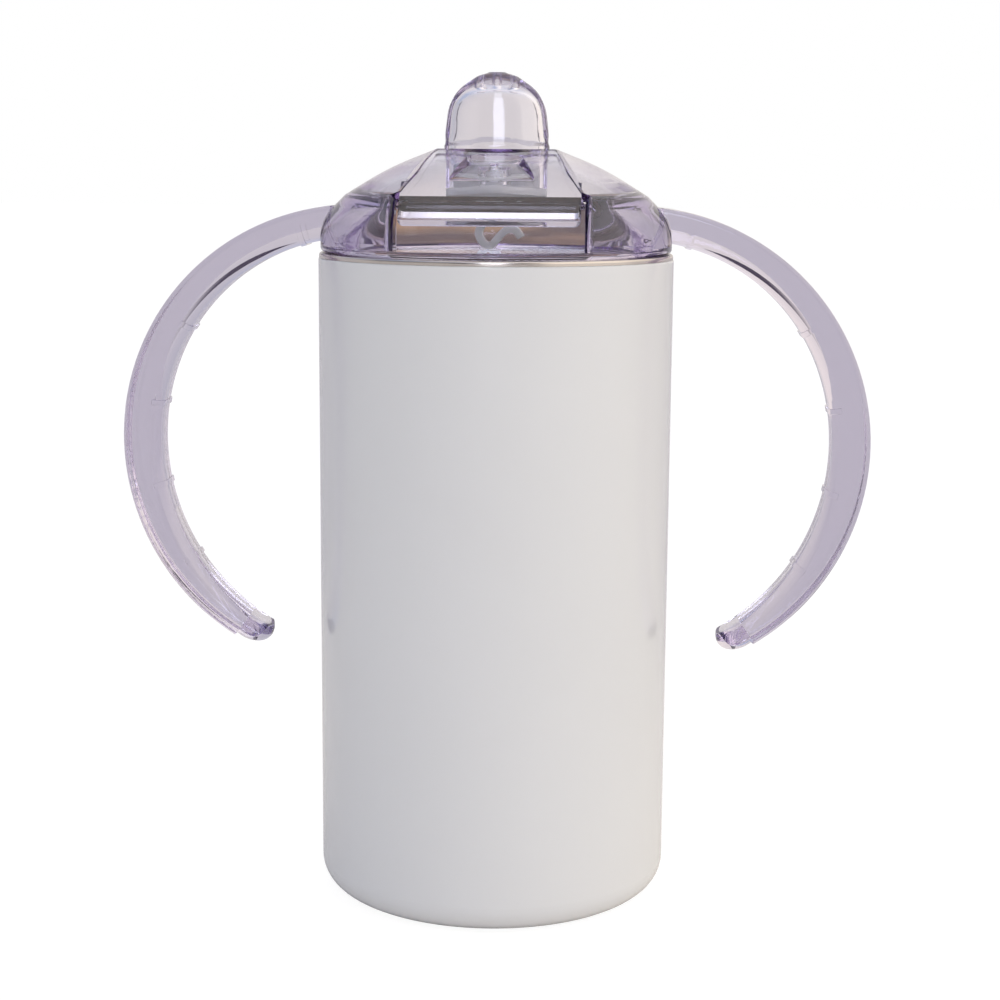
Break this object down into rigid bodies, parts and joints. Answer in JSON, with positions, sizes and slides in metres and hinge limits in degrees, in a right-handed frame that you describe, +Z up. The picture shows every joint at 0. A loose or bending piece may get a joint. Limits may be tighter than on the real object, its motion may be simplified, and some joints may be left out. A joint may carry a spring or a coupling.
{
  "type": "sippy cup",
  "caption": "Straight double-wall steel toddler cup with a clear press-in spout lid, two curved grips bonded to the lid, and a soft anti-spill valve that pulls out from below.",
  "frame": {"origin": "centre of the flat foot, on the surface the cup stands on", "axes": "+Z up along the cup's axis, -Y towards the lid's flat front facet, and the two grips along -X and +X"},
  "size_m": [0.1548, 0.073, 0.1703],
  "materials": {
    "white_coat": "glossy white polymer coat over steel",
    "bare_steel": "satin stainless steel",
    "clear_lilac_plastic": "polished clear plastic with a faint lilac tint",
    "silicone": "milky translucent silicone, satin",
    "solder_glass": "smooth dark solder glass",
    "getter_metal": "matt pressed powder metal"
  },
  "bodies": {
    "cup": {"outer_shell": "white_coat", "outer_base": "bare_steel", "base_cover": "bare_steel", "seal_bead": "solder_glass", "getter_pellet": "getter_metal", "liner_wall": "bare_steel", "liner_base": "bare_steel"},
    "seal": {"lid_gasket": "silicone"},
    "lid": {"lid_cap": "clear_lilac_plastic", "handle_left": "clear_lilac_plastic", "handle_right": "clear_lilac_plastic"},
    "valve": {"spill_valve": "silicone"}
  },
  "joints": [
    {"name": "lid_lift", "type": "slide", "parent": "cup", "child": "seal", "axis": [0, 0, 1], "range_m": [0, 0.095]},
    {"name": "lid_turn", "type": "hinge", "parent": "seal", "child": "lid", "pos_m": [0, 0, 0.1278], "axis": [0, 0, 1], "continuous": true},
    {"name": "valve_pull", "type": "slide", "parent": "lid", "child": "valve", "axis": [0, 0, -1], "range_m": [0, 0.04]}
  ]
}
